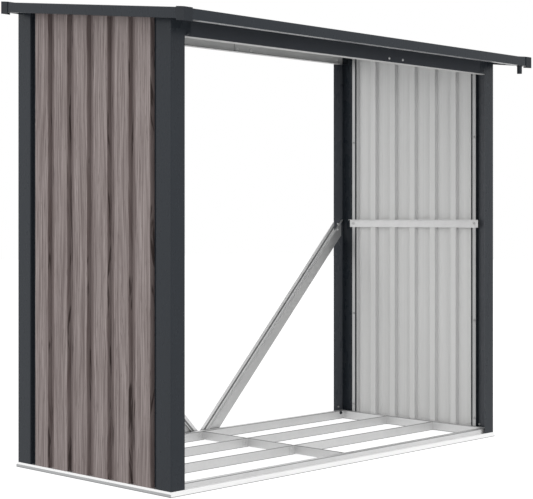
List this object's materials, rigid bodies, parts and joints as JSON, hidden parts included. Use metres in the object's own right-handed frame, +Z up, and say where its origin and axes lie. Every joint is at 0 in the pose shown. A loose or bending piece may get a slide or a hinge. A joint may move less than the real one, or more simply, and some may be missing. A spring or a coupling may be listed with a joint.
{
  "type": "metal log store",
  "caption": "Open-fronted metal log store with ribbed wood-print end walls, dark corner posts, a lean-to roof and a slatted steel floor frame.",
  "frame": {"origin": "centre of the roof's plan, at the level of the base rails' underside", "axes": "+Z up, +X along the open front to the right as seen from the front, +Y from the open front to the rear"},
  "size_m": [1.749, 0.8744, 1.5171],
  "materials": {
    "anthracite_paint": "semi-gloss anthracite powder coat",
    "woodgrain_panel": "matt printed wood grain outside, pale grey backing coat inside",
    "roof_paint": "anthracite coat on top, pale grey backing coat below",
    "galvanised_steel": "plain galvanised, matt",
    "cap_plastic": "dark grey moulded plastic"
  },
  "bodies": {
    "root": {"base_rail_front": "galvanised_steel", "base_rail_left": "galvanised_steel", "base_rail_rear": "galvanised_steel", "base_rail_right": "galvanised_steel", "corner_cap_front_left": "cap_plastic", "corner_cap_front_right": "cap_plastic", "corner_cap_rear_left": "cap_plastic", "corner_cap_rear_right": "cap_plastic", "drain_stub": "cap_plastic", "floor_joist_1": "galvanised_steel", "floor_joist_2": "galvanised_steel", "floor_strut_1": "galvanised_steel", "floor_strut_2": "galvanised_steel", "floor_strut_3": "galvanised_steel", "front_gutter": "anthracite_paint", "header_front_long": "anthracite_paint", "header_front_short": "anthracite_paint", "header_rear_long": "anthracite_paint", "header_rear_short": "anthracite_paint", "mid_rail_left": "galvanised_steel", "mid_rail_right": "galvanised_steel", "post_front_left": "anthracite_paint", "post_front_right": "anthracite_paint", "post_rear_left": "anthracite_paint", "post_rear_right": "anthracite_paint", "rear_brace_left": "galvanised_steel", "rear_brace_right": "galvanised_steel", "rear_trim": "anthracite_paint", "roof_sheet_1": "roof_paint", "roof_sheet_2": "roof_paint", "roof_sheet_3": "roof_paint", "splice_plate_front": "galvanised_steel", "splice_plate_rear": "galvanised_steel", "top_rail_left": "galvanised_steel", "top_rail_right": "galvanised_steel", "upright_strip_front_left": "galvanised_steel", "upright_strip_front_right": "galvanised_steel", "upright_strip_rear_left": "galvanised_steel", "upright_strip_rear_right": "galvanised_steel", "verge_trim_left": "anthracite_paint", "verge_trim_right": "anthracite_paint", "wall_panel_left": "woodgrain_panel", "wall_panel_right": "woodgrain_panel"}
  },
  "joints": []
}
